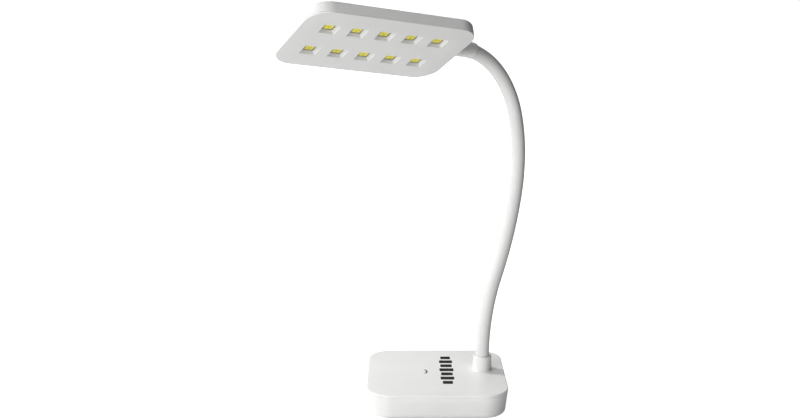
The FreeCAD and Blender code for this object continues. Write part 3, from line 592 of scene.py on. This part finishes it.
def neck_station(length, share):
    """Point and direction on the neck, share of the way along a length, counted from 0."""
    start, end = pivots[length], pivots[length + 1]
    first, last = tangents[length], tangents[length + 1]
    turn = first.angle(last)
    radius = (end - start).length / (2 * math.sin(turn / 2))
    inward = (last - first * math.cos(turn)).normalized()
    angle = turn * share
    point = start + radius * (math.sin(angle) * first + (1 - math.cos(angle)) * inward)
    return point, (first * math.cos(angle) + inward * math.sin(angle)).normalized()


def sleeve_piece(name, stations):
    outer = [circle_loop(point, way, bend_side, SLEEVE_RADIUS) for point, way in stations]
    inner = [circle_loop(point, way, bend_side, SLEEVE_BORE) for point, way in reversed(stations)]
    return stack(name, outer + inner, wrap=True)


def make_sleeve():
    """One smooth sleeve in nine pieces that meet at the middle of each length. The foot rides on the first length
    and the end on the last; the pieces between ride on no body.
    """
    steps = 16
    half = steps // 2
    tail = pivots[0].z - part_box("neck_sleeve_01")[0].z
    foot = [(pivots[0] - UP * tail * (4 - k) / 4, UP) for k in range(4)]
    foot += [neck_station(0, k / steps) for k in range(half + 1)]
    piece = sleeve_piece("sleeve_foot", foot)
    carry(piece, "neck_1", "neck_sleeve", looks["neck_sleeve"], "neck_sleeve_01")
    for number in range(1, LENGTHS):
        stations = [neck_station(number - 1, k / steps) for k in range(half, steps)]
        stations += [neck_station(number, k / steps) for k in range(half + 1)]
        piece = sleeve_piece(f"sleeve_bend_{number}", stations)
        piece.data.materials.append(looks["neck_sleeve"])
        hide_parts(f"neck_sleeve_{number + 1:02d}")
        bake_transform(piece)
    last = [neck_station(LENGTHS - 1, k / steps) for k in range(half, steps + 1)]
    last += [(pivots[-1] + tangents[-1] * HEAD_TAIL * k / 3, tangents[-1]) for k in (1, 2, 3)]
    carry(sleeve_piece("sleeve_end", last), f"neck_{LENGTHS}", "neck_sleeve", looks["neck_sleeve"])


# Head --------------------------------------------------------------------------------------------------


def node_middle(node):
    low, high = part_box(node)
    return (low + high) / 2


def find_head():
    """The head's own frame: +X towards the neck, +Z away from the face, origin at the middle of the face."""
    first, along, across = node_middle("led_01"), node_middle("led_05"), node_middle("led_06")
    x_axis = (along - first).normalized()
    y_axis = (across - first).normalized()
    z_axis = x_axis.cross(y_axis)
    turned = Matrix((x_axis, y_axis, z_axis))
    points = [turned @ vertex.co for vertex in frame["nodes"]["head_housing"].data.vertices]
    faces = [turned @ vertex.co for vertex in frame["nodes"]["head_face"].data.vertices]
    spans = [(min(p[k] for p in points), max(p[k] for p in points)) for k in range(2)]
    middle = Vector([(low + high) / 2 for low, high in spans] + [min(p.z for p in faces)])
    matrix = Matrix.Translation(turned.transposed() @ middle) @ turned.transposed().to_4x4()
    return matrix, (spans[0][1] - spans[0][0]) / 2, (spans[1][1] - spans[1][0]) / 2


HEAD, HEAD_HALF_X, HEAD_HALF_Y = find_head()
LED_PLACES = [HEAD.inverted() @ node_middle(f"led_{k:02d}") for k in range(1, 11)]


def head_level(inset, z):
    return rounded_loop(HEAD_HALF_X - inset, HEAD_HALF_Y - inset, HEAD_CORNER - inset, z, 16)


def make_housing():
    rows = [head_level(HEAD_WALL, HEAD_THICK - HEAD_ROOF), head_level(HEAD_WALL, FACE_BAND)]
    rows += [head_level(SEAM, FACE_BAND), head_level(0, FACE_BAND + SEAM)]
    bend = HEAD_THICK - HEAD_ROUNDING
    rows += [head_level(HEAD_ROUNDING * (1 - c), bend + HEAD_ROUNDING * s) for c, s in quarter(10)]
    shell = place(stack("housing_shell", rows), HEAD)
    carry(shell, "head", "head_white", looks["head_white"], "head_housing")


def make_hump(axis_high):
    """Hump on the head over the collar's tube: half round, with a soft fillet and a domed inner end."""
    radius, fillet = HEAD_COLLAR_RADIUS, HUMP_FILLET
    lift = HEAD_THICK + fillet - axis_high
    reach = math.sqrt((radius + fillet) ** 2 - lift**2)
    meet = math.atan2(lift, reach)
    profile = []
    for step in range(13):
        turn = math.pi / 2 + (meet - math.pi / 2) * step / 12
        profile.append((radius * math.cos(turn), axis_high + radius * math.sin(turn)))
    for step in range(1, 9):
        turn = math.pi + meet + (math.pi / 2 - meet) * step / 8
        profile.append((reach + fillet * math.cos(turn), HEAD_THICK + fillet + fillet * math.sin(turn)))
    profile.append((reach, HEAD_THICK - HUMP_SUNK))
    end_x = HEAD_HALF_X - SADDLE_REACH
    front_x = HEAD_HALF_X - HUMP_SLIVER
    rows = []
    for out, z in profile:
        out = max(out, HUMP_SLIVER)
        row = [Vector((front_x, -out, z))]
        for step in range(25):
            turn = math.radians(-90 - 180 * step / 24)
            row.append(Vector((end_x + out * math.cos(turn), out * math.sin(turn), z)))
        row.append(Vector((front_x, out, z)))
        rows.append(row)
    hump = place(stack("collar_hump", rows), HEAD)
    return carry(hump, "head", "head_white", looks["head_white"])


def make_face():
    """Face plate with ten square tapered wells, each with a soft lip."""
    edge = FACE_EDGE
    core = HEAD_WALL + FACE_STEP
    rows = [head_level(FACE_STEP + edge * (1 - c), edge * (1 - s)) for c, s in quarter(5, 90, 0)]
    rows += [head_level(FACE_STEP, FACE_BAND - SEAM), head_level(FACE_STEP + SEAM, FACE_BAND)]
    rows += [head_level(core, FACE_BAND), head_level(core, WELL_DEPTH)]
    face = stack("face_plate", rows)
    slope = (WELL_MOUTH - WELL_FLOOR) / WELL_DEPTH
    lip_corner, mouth_corner, floor_corner = WELL_CORNERS
    cutters = []
    for number, at in enumerate(LED_PLACES, start=1):
        rows = [rounded_loop(WELL_MOUTH + WELL_LIP, WELL_MOUTH + WELL_LIP, lip_corner, -MM, 6)]
        for c, s in quarter(6):
            half = WELL_MOUTH - slope * WELL_LIP * s + WELL_LIP * (1 - s)
            rows.append(rounded_loop(half, half, mouth_corner, WELL_LIP * (1 - c), 6))
        rows.append(rounded_loop(WELL_FLOOR, WELL_FLOOR, floor_corner, WELL_DEPTH, 6))
        rows.append(rounded_loop(WELL_FLOOR, WELL_FLOOR, floor_corner, WELL_DEPTH + MM, 6))
        cutters.append(place(stack(f"well_{number:02d}", rows), Matrix.Translation((at.x, at.y, 0))))
    cut_out(face, cutters, 30)
    carry(place(face, HEAD), "head", "head_white", looks["head_white"], "head_face")


def make_leds():
    """Ten packages: an ivory frame, a yellow gel that nearly fills it, and chips that show in the gel."""
    chips = []
    for number, at in enumerate(LED_PLACES, start=1):
        base = Matrix.Translation((at.x, at.y, WELL_DEPTH))
        rows = [rounded_loop(LED_HALF, LED_HALF, LED_CORNER, LED_HIGH, 4)]
        rows.append(rounded_loop(LED_HALF, LED_HALF, LED_CORNER, LED_CHAMFER, 4))
        rows.append(rounded_loop(LED_HALF - LED_CHAMFER, LED_HALF - LED_CHAMFER, 0.2 * MM, 0, 4))
        rows.append(rounded_loop(GEL_HALF + 0.06 * MM, GEL_HALF + 0.06 * MM, 0.8 * MM, 0, 4))
        rows.append(rounded_loop(GEL_HALF - 0.15 * MM, GEL_HALF - 0.15 * MM, 0.7 * MM, 0.35 * MM, 4))
        package = place(stack(f"led_package_{number:02d}", rows), HEAD @ base)
        carry(package, "head", "head_white", frame_ivory, f"led_{number:02d}")
        rows = [rounded_loop(GEL_HALF, GEL_HALF, GEL_CORNER, 0.3 * MM, 4)]
        for step in range(6):
            share = math.cos(math.radians(15 * step))
            rise = math.sin(math.radians(15 * step))
            half = GEL_HALF * share
            rows.append(rounded_loop(half, half, min(GEL_CORNER, half * 0.9), 0.05 * MM - GEL_DOME * rise, 4))
        gel = place(stack(f"led_gel_{number:02d}", rows, angle=60), HEAD @ base)
        carry(gel, "head", "led_yellow", looks["led_yellow"])
        for turn in (90, 210, 330):
            x = CHIP_OUT * math.cos(math.radians(turn))
            y = CHIP_OUT * math.sin(math.radians(turn))
            rows = [rounded_loop(CHIP_HALF, CHIP_HALF, 0.05 * MM, -level * MM, 2) for level in (0.02, 0.15)]
            chips.append(place(stack("chip", rows), HEAD @ base @ Matrix.Translation((x, y, 0))))
    carry(join("led_chips", chips), "head", "led_yellow", chip_amber)


def collar_line():
    """Points and directions of the head's collar: an elbow from the neck's end, then straight to the head."""
    start, way = pivots[-1], tangents[-1]
    local_start = HEAD.inverted() @ start
    local_way = HEAD.to_3x3().inverted() @ way
    to_corner = -local_start.y / local_way.y
    crossing = local_start + local_way * to_corner
    into_head = -(HEAD.to_3x3() @ Vector((1, 0, 0)))
    turn = way.angle(into_head)
    radius = to_corner / math.tan(turn / 2)
    inward = (into_head - way * math.cos(turn)).normalized()
    stations = []
    for step in range(9):
        angle = turn * step / 8
        point = start + radius * (math.sin(angle) * way + (1 - math.cos(angle)) * inward)
        stations.append((point, way * math.cos(angle) + inward * math.sin(angle)))
    edge = HEAD @ Vector((HEAD_HALF_X, crossing.y, crossing.z))
    bend_end = stations[-1][0]
    stations += [(bend_end.lerp(edge, k / 4), into_head) for k in range(1, 5)]
    return stations, crossing.z


def make_head_collar(stations):
    rim, mouth = HEAD_COLLAR_RIM, COLLAR_MOUTH
    start, way = stations[0]
    side = (tangents[-1].cross(stations[-1][1])).normalized()

    def level(point, direction, radius):
        return circle_loop(point, direction.normalized(), side, radius)

    rows = [level(start + way * mouth * (1 - s), way, COLLAR_BORE + mouth * (1 - c)) for c, s in quarter(5)]
    for c, s in quarter(8, 90, 0):
        rows.append(level(start + way * rim * (1 - s), way, HEAD_COLLAR_RADIUS - rim * (1 - c)))
    rows += [level(point, direction, HEAD_COLLAR_RADIUS) for point, direction in stations[2:]]
    edge, inward = stations[-1]
    sunk = edge + inward * HEAD_COLLAR_SUNK
    tip = edge + inward * TONGUE_REACH
    rows += [level(sunk, inward, HEAD_COLLAR_RADIUS), level(sunk, inward, TONGUE_RADIUS)]
    rows += [level(tip, inward, TONGUE_RADIUS), level(tip, inward, LEAD_WAY)]
    rows += [level(point, direction, LEAD_WAY) for point, direction in reversed(stations[6:])]
    floor = start + way * (HEAD_TAIL + TAIL_GAP)
    rows += [level(floor, way, LEAD_WAY), level(floor, way, COLLAR_BORE)]
    piece = stack("head_elbow", rows, wrap=True)
    return carry(piece, "head", "collar_white", looks["collar_white"], "head_collar")


# Stage -------------------------------------------------------------------------------------------------


def make_floor():
    """Paper that looks white to the camera, and throws little light back on the lamp's right side."""
    mesh = bpy.data.meshes.new("floor")
    corners = [(x * FLOOR_HALF, y * FLOOR_HALF, 0) for x, y in ((-1, -1), (1, -1), (1, 1), (-1, 1))]
    mesh.from_pydata(corners, [], [(0, 1, 2, 3)])
    floor = link("floor", mesh)
    light, dark = FLOOR_TONES
    made, tree, shader = principled("floor_paper", (light, light, light), 0.8)
    shader.inputs["Specular IOR Level"].default_value = 0.2
    shader.inputs["Emission Color"].default_value = (1, 1, 1, 1)
    where = tree.nodes.new("ShaderNodeTexCoord")
    split = tree.nodes.new("ShaderNodeSeparateXYZ")
    fall = tree.nodes.new("ShaderNodeMapRange")
    fall.inputs["From Min"].default_value, fall.inputs["From Max"].default_value = FLOOR_FALL
    tree.links.new(where.outputs["Object"], split.inputs[0])
    tree.links.new(split.outputs["Y"], fall.inputs["Value"])
    tone = tint(tree, fall.outputs["Result"], (light, light, light), (dark, dark, dark))
    tree.links.new(tone, shader.inputs["Base Color"])
    seen = tree.nodes.new("ShaderNodeLightPath")
    glow = tree.nodes.new("ShaderNodeMapRange")
    glow.inputs["To Min"].default_value = FLOOR_LIGHT
    glow.inputs["To Max"].default_value = FLOOR_GLOW
    tree.links.new(seen.outputs["Is Camera Ray"], glow.inputs["Value"])
    tree.links.new(glow.outputs["Result"], shader.inputs["Emission Strength"])
    fine = noise(tree, 900)
    bump(tree, shader, fine, 0.05 * MM)
    mesh.materials.append(made)


def make_lamp(name, at, aim, side, watts):
    """Square area light that the camera doesn't see."""
    data = bpy.data.lights.new(name, "AREA")
    data.size = side
    data.energy = watts
    obj = bpy.data.objects.new(name, data)
    obj.location = at
    obj.rotation_euler = (Vector(aim) - Vector(at)).to_track_quat("-Z", "Y").to_euler()
    obj.visible_camera = False
    bpy.context.scene.collection.objects.link(obj)


def make_world():
    """Pale surroundings that are bright on the left of the lamp and dark on its right."""
    world = bpy.data.worlds.new("studio")
    bpy.context.scene.world = world
    world.use_nodes = True
    tree = world.node_tree
    where = tree.nodes.new("ShaderNodeTexCoord")
    split = tree.nodes.new("ShaderNodeSeparateXYZ")
    tree.links.new(where.outputs["Generated"], split.inputs[0])
    total = None
    for (start, low), (end, high) in zip(WORLD_LIGHT, WORLD_LIGHT[1:]):
        step = tree.nodes.new("ShaderNodeMapRange")
        step.inputs["From Min"].default_value = start
        step.inputs["From Max"].default_value = end
        step.inputs["To Min"].default_value = 0.0 if total else low
        step.inputs["To Max"].default_value = high - low if total else high
        tree.links.new(split.outputs["Y"], step.inputs["Value"])
        total = add(tree, total, step.outputs["Result"])
    seen = tree.nodes.new("ShaderNodeLightPath")
    choose = tree.nodes.new("ShaderNodeMix")
    choose.inputs[3].default_value = 1.0
    tree.links.new(seen.outputs["Is Camera Ray"], choose.inputs["Factor"])
    tree.links.new(total, choose.inputs[2])
    tree.links.new(choose.outputs[0], tree.nodes["Background"].inputs["Strength"])
    tree.nodes["Background"].inputs["Color"].default_value = (1, 1, 1, 1)


def make_camera():
    """Looks along -X at the lamp's side from a little above it."""
    data = bpy.data.cameras.new("camera")
    data.lens = CAMERA_LENS
    data.sensor_width = CAMERA_SENSOR
    data.clip_start = 0.01
    camera = bpy.data.objects.new("camera", data)
    camera.location = CAMERA_AT
    camera.rotation_euler = (math.radians(90 - CAMERA_DOWN), 0, math.radians(90))
    bpy.context.scene.collection.objects.link(camera)
    bpy.context.scene.camera = camera


for node, obj in frame["nodes"].items():
    wanted = next(s["material_slot"] for s in frame["record"]["subparts"] if s["node"] == node)
    obj.data.materials.clear()
    obj.data.materials.append(looks[wanted])

make_lid()
make_tray()
make_pad()
make_marks()
make_base_collar()
make_contacts()
make_sleeve()
make_housing()
make_face()
make_leds()
line, axis_height = collar_line()
make_head_collar(line)
make_hump(axis_height)
make_floor()
make_world()
for name, (at, aim, side, watts) in LAMPS.items():
    make_lamp(name, at, aim, side, watts)
make_camera()
bpy.context.scene.view_settings.view_transform = "Standard"
